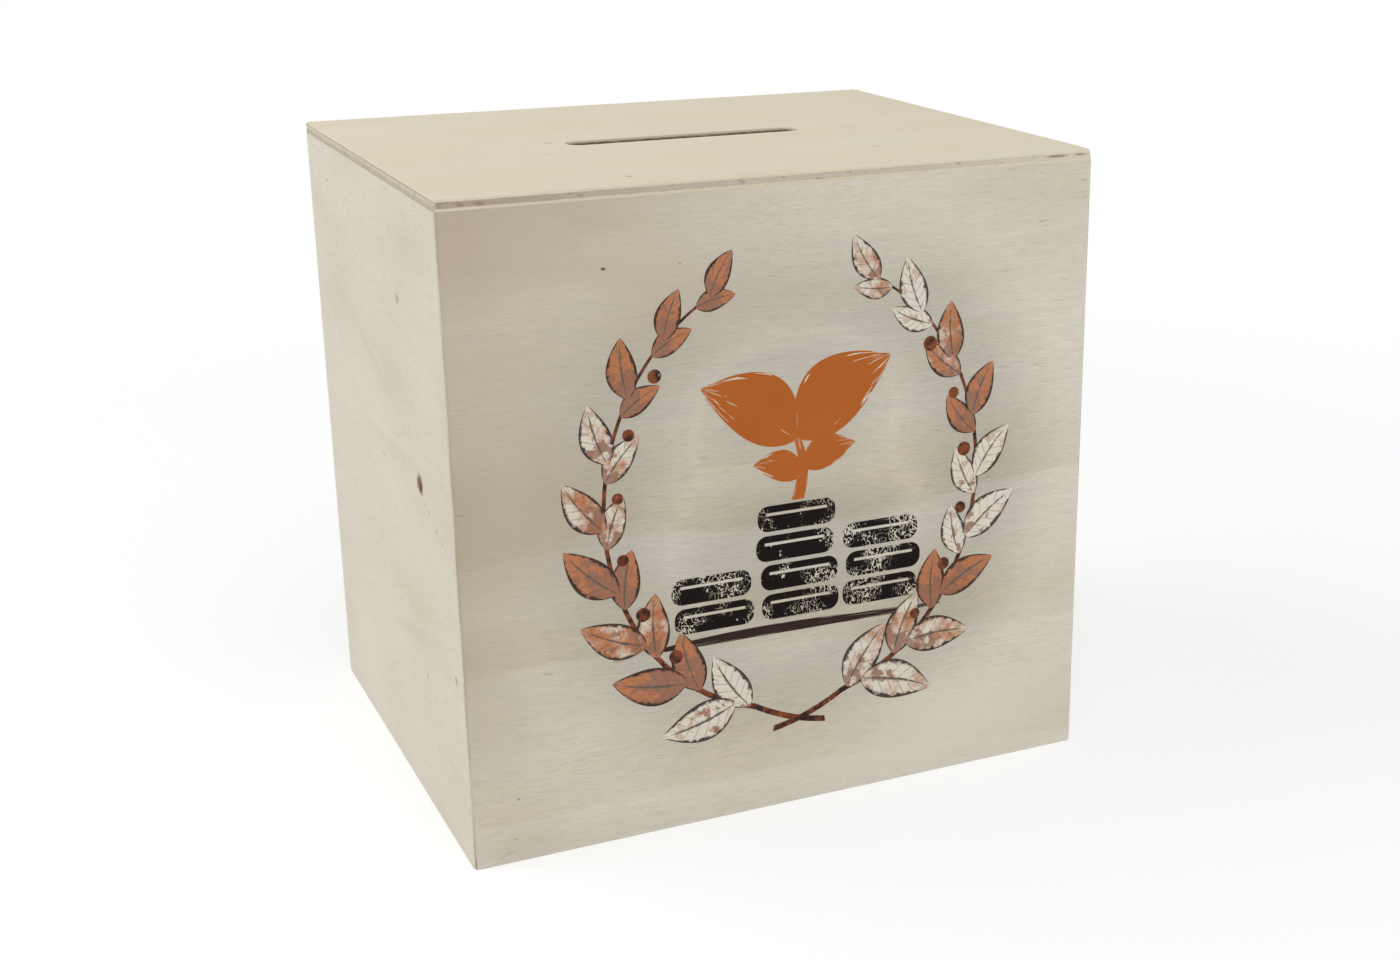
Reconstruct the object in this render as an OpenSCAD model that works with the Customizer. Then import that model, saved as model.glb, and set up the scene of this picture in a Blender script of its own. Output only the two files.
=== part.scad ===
// Wooden money box: four mitred plywood walls, a glued lid with a coin slot, four corner posts
// and an inset base that is held by four countersunk screws.
// The origin is on the floor under the middle of the box, and the front faces -Y.

/* [Case] */
// Outside width of the box, left to right
box_w = 124; // [90:1:200]
// Outside depth of the box, front to back
box_d = 100; // [80:1:200]
// Height of the box, from the floor to the top of the lid
box_h = 120; // [80:1:200]
// Thickness of the four upright walls
wall_t = 4; // [3:0.5:8]
// Radius of the eased upright edges
corner_r = 0.9; // [0.3:0.1:2.5]

/* [Lid] */
// Thickness of the lid panel
lid_t = 2; // [1.5:0.5:6]
// Length of the coin slot, from end to end
slot_l = 47.5; // [25:0.5:60]
// Width of the coin slot
slot_w = 5.5; // [4.5:0.5:8]
// How far the middle of the slot lies in front of the middle of the lid
slot_forward = 1.5; // [0:0.5:10]

/* [Base] */
// Thickness of the base panel
base_t = 4; // [3:0.5:8]
// Gap between the edge of the base panel and the walls
base_gap = 0.3; // [0.2:0.1:1]

/* [Corner posts] */
// Side of the square corner posts
post_w = 9; // [8:0.5:16]
// How far the pilot hole goes on past the tip of the screw
pilot_over = 1.5; // [0.5:0.5:4]

/* [Screws] */
// Length of a screw, from the flat of its head to its tip
screw_l = 16; // [12:1:30]
// Diameter over the thread
thread_d = 3; // [2.6:0.1:4]
// Diameter of the core under the thread
core_d = 2.1; // [1.6:0.1:2.4]
// Distance from one turn of the thread to the next
thread_pitch = 1.3; // [1:0.1:2]
// Diameter of the countersunk head
head_d = 6; // [5:0.1:7]
// Height of the straight rim round the head
head_rim = 0.3; // [0.2:0.1:0.6]
// How far the head lies under the surface of the base
head_sunk = 0.3; // [0.1:0.1:0.8]
// Length of the pointed tip
tip_l = 2.5; // [1.5:0.5:4]
// Width of each arm of the cross recess
cross_w = 0.9; // [0.6:0.1:1.2]
// Span of the cross recess at the face of the head
cross_span = 3.4; // [2.6:0.1:4]
// Depth of the cross recess
cross_deep = 1.5; // [1:0.1:2]

/* [Fits] */
// Gap round the screw in the holes of the base panel
hole_fit = 0.2; // [0.1:0.05:0.4]
// Gap round the thread in the pilot hole of a post
pilot_fit = 0.1; // [0.05:0.01:0.2]
// Gap between the screw head and its countersink
sink_fit = 0.1; // [0.05:0.01:0.2]

/* [Hidden] */

$fn = 48;

// Signs of the two directions along X and along Y
left = -1;
right = 1;
front = -1;
back = 1;

// The walls end where the lid lies on them
wall_h = box_h - lid_t;

// Inside of the case, between the walls
inside_w = box_w - 2 * wall_t;
inside_d = box_d - 2 * wall_t;

// The posts stand on the base panel and reach the lid
post_h = wall_h - base_t;
post_x = inside_w / 2 - post_w / 2;
post_y = inside_d / 2 - post_w / 2;

// Radii of the screw and of the holes that it passes through
head_r = head_d / 2;
core_r = core_d / 2;
thread_r = thread_d / 2;
hole_r = thread_r + hole_fit;
pilot_r = thread_r + pilot_fit;
sink_r = head_r + sink_fit;

// The head tapers at 45 degrees, from its rim down to the core
head_h = head_rim + head_r - core_r;
// The countersink has the same taper, from its own rim down to the hole
sink_rim = head_sunk + head_rim;
sink_h = sink_rim + sink_r - hole_r;

// The pilot hole reaches past the tip of the driven screw
pilot_deep = head_sunk + screw_l - base_t + pilot_over;

// The thread runs from the head to the start of the tip, in whole turns
tip_z = screw_l - tip_l;
turns = floor((tip_z - head_h) / thread_pitch);
// Half the width of one ridge of the thread, at its root
ridge_half = 0.3 * thread_pitch;
// The cross recess narrows to this share of its span at its bottom
cross_taper = 0.4;

// Cuts run past the surfaces that they open by this much
over = 1;

wall_colour = "#cfc7b4";
lid_colour = "#dfd6bf";
inner_colour = "#d8cbb0";
screw_colour = "#b9bcc0";

// Upright block with eased upright edges, as wide and deep as the box
module outline_block(h) {
    straight_w = box_w - 2 * corner_r;
    straight_d = box_d - 2 * corner_r;
    translate([-straight_w / 2, -box_d / 2, 0])
        cube([straight_w, box_d, h]);
    translate([-box_w / 2, -straight_d / 2, 0])
        cube([box_w, straight_d, h]);
    for (x = [left, right], y = [front, back])
        translate([x * straight_w / 2, y * straight_d / 2, 0])
            cylinder(h = h, r = corner_r);
}

// Wall with mitred ends, from its outline in plan
module mitred_wall(outline) {
    intersection() {
        linear_extrude(wall_h)
            polygon(outline);
        outline_block(wall_h);
    }
}

// Front or back wall
module cross_wall(side) {
    mitred_wall([
        [-box_w / 2, side * box_d / 2],
        [box_w / 2, side * box_d / 2],
        [inside_w / 2, side * inside_d / 2],
        [-inside_w / 2, side * inside_d / 2],
    ]);
}

// Left or right wall
module end_wall(side) {
    mitred_wall([
        [side * box_w / 2, -box_d / 2],
        [side * box_w / 2, box_d / 2],
        [side * inside_w / 2, inside_d / 2],
        [side * inside_w / 2, -inside_d / 2],
    ]);
}

// Slot with round ends, as long and wide as the coin slot
module slot_cutter(h) {
    straight_l = slot_l - slot_w;
    translate([-straight_l / 2, -slot_w / 2, 0])
        cube([straight_l, slot_w, h]);
    for (x = [left, right])
        translate([x * straight_l / 2, 0, 0])
            cylinder(h = h, r = slot_w / 2);
}

// Countersunk hole through the base panel, open at the underside
module screw_hole() {
    translate([0, 0, -over])
        cylinder(h = base_t + 2 * over, r = hole_r);
    translate([0, 0, -over])
        cylinder(h = over + sink_rim, r = sink_r);
    translate([0, 0, sink_rim])
        cylinder(h = sink_h - sink_rim, r1 = sink_r, r2 = hole_r);
}

// Square post in one corner, with a pilot hole in its lower end
module corner_post(side_x, side_y) {
    translate([side_x * post_x, side_y * post_y, base_t])
        difference() {
            translate([-post_w / 2, -post_w / 2, 0])
                cube([post_w, post_w, post_h]);
            translate([0, 0, -over])
                cylinder(h = over + pilot_deep, r = pilot_r);
        }
}

// Outline of the screw from its head up to its point, with one ridge for each turn
function ridge(turn) =
    let (z = head_h + (turn + 0.5) * thread_pitch)
    [[core_r, z - ridge_half], [thread_r, z], [core_r, z + ridge_half]];

screw_outline = concat(
    [[0, 0], [head_r, 0], [head_r, head_rim], [core_r, head_h]],
    [for (turn = [0 : turns - 1]) each ridge(turn)],
    [[core_r, tip_z], [0, screw_l]]
);

// Two crossed slots that narrow towards their bottom
module cross_recess() {
    intersection() {
        for (turn = [0, 90])
            rotate([0, 0, turn])
                translate([-cross_span / 2, -cross_w / 2, -over])
                    cube([cross_span, cross_w, over + cross_deep]);
        union() {
            cylinder(h = cross_deep, r1 = cross_span / 2, r2 = cross_taper * cross_span / 2);
            translate([0, 0, -over])
                cylinder(h = over, r = cross_span / 2);
        }
    }
}

// Wood screw driven up through the base panel into a corner post
module wood_screw(side_x, side_y) {
    translate([side_x * post_x, side_y * post_y, head_sunk])
        difference() {
            rotate_extrude()
                polygon(screw_outline);
            cross_recess();
        }
}

module front_panel() {
    color(wall_colour)
        cross_wall(front);
}

module back_panel() {
    color(wall_colour)
        cross_wall(back);
}

module left_panel() {
    color(wall_colour)
        end_wall(left);
}

module right_panel() {
    color(wall_colour)
        end_wall(right);
}

module lid_panel() {
    color(lid_colour)
        translate([0, 0, wall_h])
            difference() {
                outline_block(lid_t);
                translate([0, -slot_forward, -over])
                    slot_cutter(lid_t + 2 * over);
            }
}

module base_panel() {
    base_w = inside_w - 2 * base_gap;
    base_d = inside_d - 2 * base_gap;
    color(inner_colour)
        difference() {
            translate([-base_w / 2, -base_d / 2, 0])
                cube([base_w, base_d, base_t]);
            for (x = [left, right], y = [front, back])
                translate([x * post_x, y * post_y, 0])
                    screw_hole();
        }
}

module front_left_post() {
    color(inner_colour)
        corner_post(left, front);
}

module front_right_post() {
    color(inner_colour)
        corner_post(right, front);
}

module back_left_post() {
    color(inner_colour)
        corner_post(left, back);
}

module back_right_post() {
    color(inner_colour)
        corner_post(right, back);
}

module front_left_screw() {
    color(screw_colour)
        wood_screw(left, front);
}

module front_right_screw() {
    color(screw_colour)
        wood_screw(right, front);
}

module back_left_screw() {
    color(screw_colour)
        wood_screw(left, back);
}

module back_right_screw() {
    color(screw_colour)
        wood_screw(right, back);
}

front_panel();
back_panel();
left_panel();
right_panel();
lid_panel();
base_panel();
front_left_post();
front_right_post();
back_left_post();
back_right_post();
front_left_screw();
front_right_screw();
back_left_screw();
back_right_screw();
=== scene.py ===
"""Looks of the wooden money box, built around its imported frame. Lengths are in metres unless named _mm."""
import math
from collections import namedtuple

import bmesh
import bpy
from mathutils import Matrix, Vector, geometry, noise


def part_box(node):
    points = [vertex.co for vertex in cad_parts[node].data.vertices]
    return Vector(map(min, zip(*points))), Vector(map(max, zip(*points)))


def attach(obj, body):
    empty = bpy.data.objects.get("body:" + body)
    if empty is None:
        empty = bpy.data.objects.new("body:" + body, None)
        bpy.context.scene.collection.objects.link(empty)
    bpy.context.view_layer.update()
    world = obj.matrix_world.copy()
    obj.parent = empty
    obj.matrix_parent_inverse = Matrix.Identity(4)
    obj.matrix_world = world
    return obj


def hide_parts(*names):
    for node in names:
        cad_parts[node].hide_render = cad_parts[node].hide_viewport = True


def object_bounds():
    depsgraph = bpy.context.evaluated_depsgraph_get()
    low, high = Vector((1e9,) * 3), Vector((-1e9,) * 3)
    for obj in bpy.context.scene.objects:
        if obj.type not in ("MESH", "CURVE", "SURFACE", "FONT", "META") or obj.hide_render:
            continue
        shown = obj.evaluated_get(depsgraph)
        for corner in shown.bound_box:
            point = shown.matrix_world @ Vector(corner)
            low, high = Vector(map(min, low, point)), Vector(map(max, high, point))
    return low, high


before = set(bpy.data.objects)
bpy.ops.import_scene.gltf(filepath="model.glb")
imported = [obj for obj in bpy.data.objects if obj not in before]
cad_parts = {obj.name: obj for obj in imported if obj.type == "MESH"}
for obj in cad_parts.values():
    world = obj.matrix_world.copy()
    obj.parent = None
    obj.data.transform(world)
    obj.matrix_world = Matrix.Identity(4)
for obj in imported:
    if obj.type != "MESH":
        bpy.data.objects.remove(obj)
cad_low, cad_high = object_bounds()

MM = 0.001
AXES = "XYZ"

# ---------------------------------------------------------------- sizes taken from the frame

wall_low, wall_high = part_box("front_panel")
lid_low, lid_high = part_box("lid_panel")
base_low, base_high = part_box("base_panel")
screw_low, screw_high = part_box("front_left_screw")

HALF_W = cad_high.x
HALF_D = cad_high.y
WALL_T = wall_high.y - wall_low.y
WALL_H = wall_high.z
LID_T = lid_high.z - lid_low.z
BASE_T = base_high.z
SCREW_L = screw_high.z - screw_low.z
SCREW_X = abs(screw_low.x + screw_high.x) / 2
SCREW_Y = abs(screw_low.y + screw_high.y) / 2

# Radii of the corners, and how far the edges are eased
CORNER_R = 0.9 * MM
BASE_CORNER_R = 0.3 * MM
WALL_CORNER_R = 0.05 * MM
LID_EASE = 0.34 * MM
SLOT_EASE = 0.12 * MM
BASE_EASE = 0.2 * MM
GLUED_EASE = 0.015 * MM
GLUED_ROUGH = 0.006 * MM

# Coin slot
SLOT_L = 47.5 * MM
SLOT_W = 5.5 * MM
SLOT_Y = -1.5 * MM

# Share of a panel's thickness that its middle ply takes
CORE_SHARE = 0.5
# How far the middle ply lies back from the sawn edge, and how rough the saw left it
CORE_BACK = 0.05 * MM
CORE_ROUGH = 0.06 * MM
EDGE_ROUGH = 0.025 * MM
MITRE_ROUGH = 0.004 * MM
# The seams between the walls stay open by a hair
SEAM = 0.003 * MM
# Depth of the relief of the fibres on a face
FIBRE_DEEP = 0.035 * MM

# Printed motif: its middle on the front, the half width and half height of its wreath, and how thick
# the ink is at most
PRINT_X = 1.5 * MM
PRINT_Z = 62 * MM
WREATH_X = 37 * MM
WREATH_Z = 42 * MM
INK = 0.03 * MM


# ---------------------------------------------------------------- node trees written as expressions

def worked(operation):
    """Method that does one kind of maths on a wire's value and then the others."""
    def method(wire, *others):
        return wire.sheet.maths(operation, wire, *others)
    return method


class Wire:
    """One value in a node tree, so that maths on it reads as Python."""

    def __init__(self, sheet, socket):
        self.sheet = sheet
        self.socket = socket

    def __rsub__(self, other):
        return self.sheet.maths("SUBTRACT", other, self)

    __add__ = __radd__ = worked("ADD")
    __mul__ = __rmul__ = worked("MULTIPLY")
    __sub__ = worked("SUBTRACT")
    __truediv__ = worked("DIVIDE")
    __mod__ = worked("MODULO")
    __pow__ = worked("POWER")
    __abs__ = worked("ABSOLUTE")
    sine = worked("SINE")
    cosine = worked("COSINE")
    angle_over = worked("ARCTAN2")
    floor = worked("FLOOR")
    rest = worked("FRACT")
    least = worked("MINIMUM")
    most = worked("MAXIMUM")

    def ease(self, low, high):
        """0 below low and 1 above high, smooth between them. low may be the larger one."""
        return self.sheet.add("ShaderNodeMapRange", {"interpolation_type": "SMOOTHSTEP"},
                              {"Value": self, "From Min": low, "From Max": high})


class Sheet:
    """A node tree, with one method that adds any node."""

    def __init__(self, tree):
        self.tree = tree

    def add(self, kind, settings=None, sockets=None, output=0):
        """One output of a new node. A list links several wires to one socket."""
        node = self.tree.nodes.new(kind)
        for name, value in (settings or {}).items():
            setattr(node, name, value)
        for name, value in (sockets or {}).items():
            sources = value if isinstance(value, list) else [value]
            for source in sources:
                if isinstance(source, Wire):
                    self.tree.links.new(source.socket, node.inputs[name])
                else:
                    node.inputs[name].default_value = source
        return Wire(self, node.outputs[output]) if node.outputs else None

    def maths(self, operation, *values):
        return self.add("ShaderNodeMath", {"operation": operation}, dict(enumerate(values)))

    def join(self, x, y, z):
        return self.add("ShaderNodeCombineXYZ", {}, {"X": x, "Y": y, "Z": z})

    def part(self, vector, axis):
        return self.add("ShaderNodeSeparateXYZ", {}, {0: vector}, axis)

    def vector(self, operation, *values, output="Vector"):
        return self.add("ShaderNodeVectorMath", {"operation": operation}, dict(enumerate(values)), output)

    def length(self, vector):
        return self.vector("LENGTH", vector, output="Value")


class Finish(Sheet):
    """A surface finish: a material whose patterns are placed in millimetres of the object."""

    def __init__(self, name):
        self.material = bpy.data.materials.new(name)
        self.material.use_nodes = True
        super().__init__(self.material.node_tree)
        self.tree.nodes.clear()
        place_m = self.add("ShaderNodeTexCoord", {}, {}, "Object")
        self.place = self.shade(place_m, 1 / MM)
        self.facing = self.add("ShaderNodeTexCoord", {}, {}, "Normal")

    def at(self, axis):
        """Place along one axis, in millimetres."""
        return self.part(self.place, axis)

    def faces(self, axis):
        """How far the surface faces along one axis, from -1 to 1."""
        return self.part(self.facing, axis)

    def noise(self, spread, seed, detail=2.0, roughness=0.5, place=None):
        """Noise from 0 to 1, whose grains have one size in millimetres, or one along each axis."""
        spread = spread if isinstance(spread, (tuple, list)) else (spread,) * 3
        squeeze = tuple(1 / size for size in spread)
        where = self.vector("MULTIPLY_ADD", place or self.place, squeeze, (seed, -seed, seed / 2))
        return self.add("ShaderNodeTexNoise", {},
                        {"Vector": where, "Scale": 1.0, "Detail": detail, "Roughness": roughness})

    def blend(self, factor, first, second):
        """Colour that goes from first to second."""
        return self.add("ShaderNodeMix", {"data_type": "RGBA"}, {0: factor, 6: first, 7: second}, 2)

    def shade(self, colour, tone):
        """Colour made lighter or darker by a tone around 1."""
        return self.add("ShaderNodeVectorMath", {"operation": "SCALE"}, {0: colour, "Scale": tone}, "Vector")

    def surface(self, colour, roughness, height, depth, metallic=0.0, specular=0.5):
        """The material, with one shader and a relief depth metres deep."""
        relief = self.add("ShaderNodeBump", {}, {"Height": height, "Distance": depth})
        return self.ended(self.add("ShaderNodeBsdfPrincipled", {}, {
            "Base Color": colour, "Roughness": roughness, "Metallic": metallic,
            "Specular IOR Level": specular, "Normal": relief}))

    def ended(self, shader):
        """The material, once its shader is its surface."""
        self.add("ShaderNodeOutputMaterial", {}, {"Surface": shader})
        return self.material


def rgba(red, green, blue):
    return (red, green, blue, 1.0)


def in_scene(name, data):
    """New object in the scene, from its mesh, light or camera."""
    item = bpy.data.objects.new(name, data)
    bpy.context.scene.collection.objects.link(item)
    return item


# ---------------------------------------------------------------- plywood

# A panel's plywood: the axes of its face grain, its middle ply's grain and its thickness, the place of its
# middle along that thickness, half its middle ply, its two tints and how far they mix, how strongly its
# growth bands and its fibres show, the width of a growth band, its sway and its start, and its seed
Ply = namedtuple("Ply", "grain cross depth middle_mm half_core_mm pale warm warmth "
                        "figure grit year_mm sway first_year seed")
# A mark in the wood, and on the front also painted light and shade: its place and size along the panel's
# two face axes, or along X, Y and Z for one on an edge, its colour, how strongly it shows, where its fade
# starts and its turn in degrees. The fade starts at the rim for 1 and in the middle for 0, and below 0 the
# middle is faded too
Mark = namedtuple("Mark", "at size colour strength fade turn", defaults=[0.35, 0])

PALE_LID = rgba(0.714, 0.656, 0.522)
WARM_LID = rgba(0.728, 0.635, 0.472)
PALE_WALL = rgba(0.715, 0.668, 0.572)
WARM_WALL = rgba(0.655, 0.582, 0.448)
PALE_SIDE = rgba(0.735, 0.687, 0.582)
WARM_SIDE = rgba(0.700, 0.628, 0.495)
INNER_PALE = rgba(0.700, 0.620, 0.480)
KNOT_BROWN = rgba(0.120, 0.045, 0.020)
KNOT_LIGHT = rgba(0.205, 0.108, 0.050)
HALO_BROWN = rgba(0.420, 0.240, 0.130)
SPOT_GREY = rgba(0.110, 0.095, 0.075)
SLOT_PALE_PAINTED_LIGHT = rgba(0.940, 0.840, 0.655)
SLOT_PAINTED_SHADE = rgba(0.220, 0.150, 0.082)
STAIN_GREY = rgba(0.330, 0.290, 0.225)
PINK_CORE = rgba(0.600, 0.522, 0.430)
BROWN_CORE = rgba(0.420, 0.325, 0.255)
DARK_CORE = rgba(0.220, 0.150, 0.110)
PALE_END = rgba(0.570, 0.495, 0.395)
DRY_EDGE = rgba(0.450, 0.392, 0.310)

CORE = CORE_SHARE / 2 / MM
FRONT = Ply("X", "Z", "Y", (-HALF_D + WALL_T / 2) / MM, CORE * WALL_T, PALE_WALL, WARM_WALL, warmth=0.8,
            figure=0.8, grit=1.45, year_mm=26.0, sway=0.9, first_year=3.18, seed=3.1)
BACK = Ply("X", "Z", "Y", (HALF_D - WALL_T / 2) / MM, CORE * WALL_T, PALE_WALL, WARM_WALL, warmth=0.8,
           figure=0.9, grit=1.30, year_mm=21.0, sway=2.6, first_year=0.40, seed=11.7)
LEFT = Ply("Y", "Z", "X", (-HALF_W + WALL_T / 2) / MM, CORE * WALL_T, PALE_SIDE, WARM_SIDE, warmth=0.9,
           figure=0.7, grit=1.10, year_mm=30.0, sway=2.2, first_year=0.20, seed=21.3)
RIGHT = Ply("Y", "Z", "X", (HALF_W - WALL_T / 2) / MM, CORE * WALL_T, PALE_SIDE, WARM_SIDE, warmth=0.8,
            figure=0.8, grit=1.15, year_mm=24.0, sway=1.8, first_year=0.70, seed=34.9)
LID = Ply("X", "Y", "Z", (lid_low.z + LID_T / 2) / MM, CORE * LID_T, PALE_LID, WARM_LID, warmth=0.7,
          figure=0.1, grit=0.5, year_mm=40.0, sway=1.0, first_year=0.50, seed=43.3)
BASE = Ply("X", "Y", "Z", BASE_T / 2 / MM, CORE * BASE_T, INNER_PALE, WARM_LID, warmth=0.8,
           figure=0.8, grit=0.9, year_mm=22.0, sway=2.4, first_year=0.10, seed=57.7)

# Soft painted shadows behind the piles and the shoot: how far above the middle of the motif each lies,
# half its width and half its height, in millimetres
PILES_SHADE = (-12.0, 34.0, 21.0)
SHOOT_SHADE = (17.0, 26.0, 19.0)


def along(axis, length, across):
    """Spread of a pattern that is drawn out along one axis."""
    return [length if axis == name else across for name in AXES]


def veneer(finish, ply):
    """Colour of a face ply and the fine relief of its fibres."""
    # The grain isn't quite straight, so everything along it is read from a place that drifts
    drift = finish.noise(along(ply.grain, 60, 18), ply.seed, 1.0) * 6.5
    bend = finish.join(*[0.0 if name == ply.grain else drift for name in AXES])
    bent = finish.vector("ADD", finish.place, bend)
    fibre = finish.noise(along(ply.grain, 3.6, 0.22), ply.seed + 1, 3.0, 0.6, bent)
    streak = finish.noise(along(ply.grain, 30.0, 1.3), ply.seed + 2, 2.0, 0.6, bent)
    cloud = finish.noise(along(ply.grain, 48.0, 15.0), ply.seed + 3, 2.0, 0.5, bent)
    hair = finish.noise(along(ply.grain, 3.6, 0.26), ply.seed + 6, 1.0, 0.5, bent)
    dark_hair = hair.ease(0.66, 0.80)
    light_hair = hair.ease(0.34, 0.20)
    nap = finish.noise(0.55, ply.seed + 4, 2.0, 0.6)
    # Growth bands, which darken slowly and end sharply
    rings = finish.noise(along(ply.grain, 120.0, 26.0), ply.seed + 5, 0.5, 0.5, bent) - 0.5
    year = (finish.at(ply.cross) / -ply.year_mm + rings * ply.sway + ply.first_year) % 1.0
    late = year.ease(0.10, 0.93) * year.ease(1.0, 0.93)
    warmth = (cloud + (streak - 0.5) * 0.35 + (late - 0.5) * 0.42 * ply.figure).ease(0.26, 0.80)
    tone = (1.0 + (fibre - 0.5) * 0.30 * ply.grit + (streak - 0.5) * 0.11 * ply.grit - (cloud - 0.5) * 0.05
            - late * 0.030 * ply.figure - dark_hair * 0.13 * ply.grit + light_hair * 0.06 * ply.grit
            + (nap - 0.5) * 0.10 * ply.grit)
    colour = finish.blend(warmth * ply.warmth, ply.pale, ply.warm)
    return finish.shade(colour, tone), fibre - dark_hair * 0.5


def sawn_edge(finish, ply, colour):
    """Colour that shows the plies wherever the panel is sawn through."""
    # The middle ply, whose two joints waver a little
    deep = abs(finish.at(ply.depth) - ply.middle_mm)
    ragged = finish.noise(1.6, ply.seed + 8, 2.0)
    core = (deep + (ragged - 0.5) * 0.30).ease(ply.half_core_mm + 0.03, ply.half_core_mm - 0.03)
    mottle = finish.noise((1.6, 1.6, 0.7), ply.seed + 9, 2.0, 0.55)
    blotch = finish.noise(9.0, ply.seed + 10, 1.0)
    pits = (mottle + (blotch - 0.5) * 0.45).ease(0.56, 0.84)
    specks = finish.noise(0.5, ply.seed + 11, 1.0)
    # Its end grain goes from brown through pink to the colour of the face, and has dark pits
    place = finish.at(ply.grain) + (blotch - 0.5) * 50.0
    core_end = finish.blend(place.ease(10.0, -62.0) * 0.7, PINK_CORE, BROWN_CORE)
    core_end = finish.blend(place.ease(14.0, 56.0) * 0.65, core_end, colour)
    core_end = finish.blend(pits * 0.7, core_end, DARK_CORE)
    # Its side grain, and the end grain of the two face plies
    core_side = finish.blend(0.30, colour, PALE_END)
    core_side = finish.blend((specks + blotch * 0.3).ease(0.62, 0.84) * 0.5, core_side, DRY_EDGE)
    face_end = finish.blend(mottle.ease(0.35, 0.75), PALE_END, DRY_EDGE)
    # The steps beside the set-back middle ply are tilted, so there a surface counts as an edge sooner
    to_grain = abs(finish.faces(ply.grain))
    to_cross = abs(finish.faces(ply.cross))
    at_core = deep.ease(ply.half_core_mm + 0.14, ply.half_core_mm + 0.08)
    across_core = to_cross.ease(0.60, 0.85).most(to_cross.ease(0.40, 0.55) * at_core)
    along_core = to_grain.ease(0.78, 0.92).most(to_grain.ease(0.40, 0.55) * at_core)
    shown = finish.blend(across_core * core, colour, core_end)
    low = (finish.at(ply.depth) + ragged * 0.2).ease(ply.middle_mm + 0.15, ply.middle_mm - 0.1)
    side = finish.blend(core * (1.0 - low * 0.8), face_end, core_side)
    shown = finish.blend(along_core, shown, side)
    # Thin lines of glue between the plies
    glue = abs(deep - ply.half_core_mm).ease(0.09, 0.02)
    to_face = abs(finish.faces(ply.depth))
    return finish.blend(glue * to_face.ease(0.6, 0.3) * 0.22, shown, DARK_CORE)


def add_mark(finish, ply, colour, mark):
    """Colour with one mark in it, such as a small stain, knot, scratch or broad tint; some marks on the
    front also carry painted light and shade.
    """
    axes = AXES if len(mark.at) == 3 else [name for name in AXES if name != ply.depth]
    at = dict(zip(axes, mark.at))
    size = dict(zip(axes, mark.size))
    centre = tuple(at.get(name, ply.middle_mm) for name in AXES)
    reach = tuple(size.get(name, 200.0) / 2 for name in AXES)
    turn = tuple(math.radians(mark.turn) if name == ply.depth else 0.0 for name in AXES)
    near = finish.add("ShaderNodeMapping", {"vector_type": "TEXTURE"},
                      {"Vector": finish.place, "Location": centre, "Rotation": turn, "Scale": reach})
    away = finish.length(near)
    grit = max(0.5, min(mark.size) * 0.22)
    frayed = finish.noise(along(ply.grain, grit * 3, grit), mark.at[0], 2.0)
    spot = (away + (frayed - 0.5) * 0.6).ease(1.0, mark.fade)
    return finish.blend(spot * mark.strength, colour, mark.colour)


def worn_and_shaded_corner(finish, ply, colour):
    """Colour with the small dark nicks where the glued mitre shows along a panel's upright edges, and a dark
    line along the seam that is partly the glue joint and partly painted shade.
    """
    half = (HALF_W if ply.grain == "X" else HALF_D) / MM
    inside = half - abs(finish.at(ply.grain))
    grit = finish.noise((1.6, 1.6, 0.5), ply.seed + 12, 2.0, 0.6)
    rare = finish.noise((9.0, 9.0, 14.0), ply.seed + 13, 1.0)
    nick = (inside + (grit - 0.5) * 1.6).ease(0.60, 0.15) * (grit + rare * 0.6).ease(0.72, 0.90)
    # Dark line along the seam: partly the glue joint, partly painted shade in the corner
    seam_and_shade_line = inside.ease(0.46, 0.28) * rare.ease(0.30, 0.60) * 0.8
    return finish.blend(nick.most(seam_and_shade_line) * 0.85, colour, STAIN_GREY)


def painted_print_shadow(finish, colour):
    """Colour of the front veneer with a soft painted shadow round the motif."""
    right = finish.at("X") - PRINT_X / MM
    up = finish.at("Z") - PRINT_Z / MM

    def away(rise, half_w, half_h):
        return finish.length(finish.join(right / half_w, (up - rise) / half_h, 0.0))

    round_it = away(0.0, WREATH_X / MM, WREATH_Z / MM)
    on_wreath = abs(round_it - 1.0).ease(0.58, 0.04) * abs(up).ease(58.0, 30.0)
    on_piles = away(*PILES_SHADE).ease(1.1, 0.4)
    on_shoot = away(*SHOOT_SHADE).ease(1.1, 0.4) * 0.8
    on_front = finish.faces("Y").ease(-0.2, -0.6)
    # Painted shadow: the front is darkened round the wreath, behind the piles and behind the shoot
    shade = on_wreath.most(on_piles).most(on_shoot) * on_front
    return finish.shade(colour, 1.0 - shade * 0.24)


def slot_wall(finish, colour):
    """Colour of the sides of the coin slot: pale wood brightened with painted light near the top, and
    painted shade that darkens them towards the inside.
    """
    across = abs(finish.at("Y") - SLOT_Y / MM) - SLOT_W / 2 / MM
    along_it = abs(finish.at("X")) - SLOT_L / 2 / MM
    under = lid_high.z / MM - finish.at("Z")
    upright = abs(finish.faces("Z")).ease(0.7, 0.4)
    inside = across.ease(1.25, 0.65) * along_it.ease(1.25, 0.65) * upright
    fuzz = finish.noise((2.0, 1.0, 0.5), 61.0, 3.0, 0.6)
    # Painted shade, which deepens further down inside the slot
    deep_shade = (under + (fuzz - 0.5) * 0.5).ease(0.48, 0.74)
    return finish.blend(inside, colour, finish.blend(deep_shade, SLOT_PALE_PAINTED_LIGHT, SLOT_PAINTED_SHADE))


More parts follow.
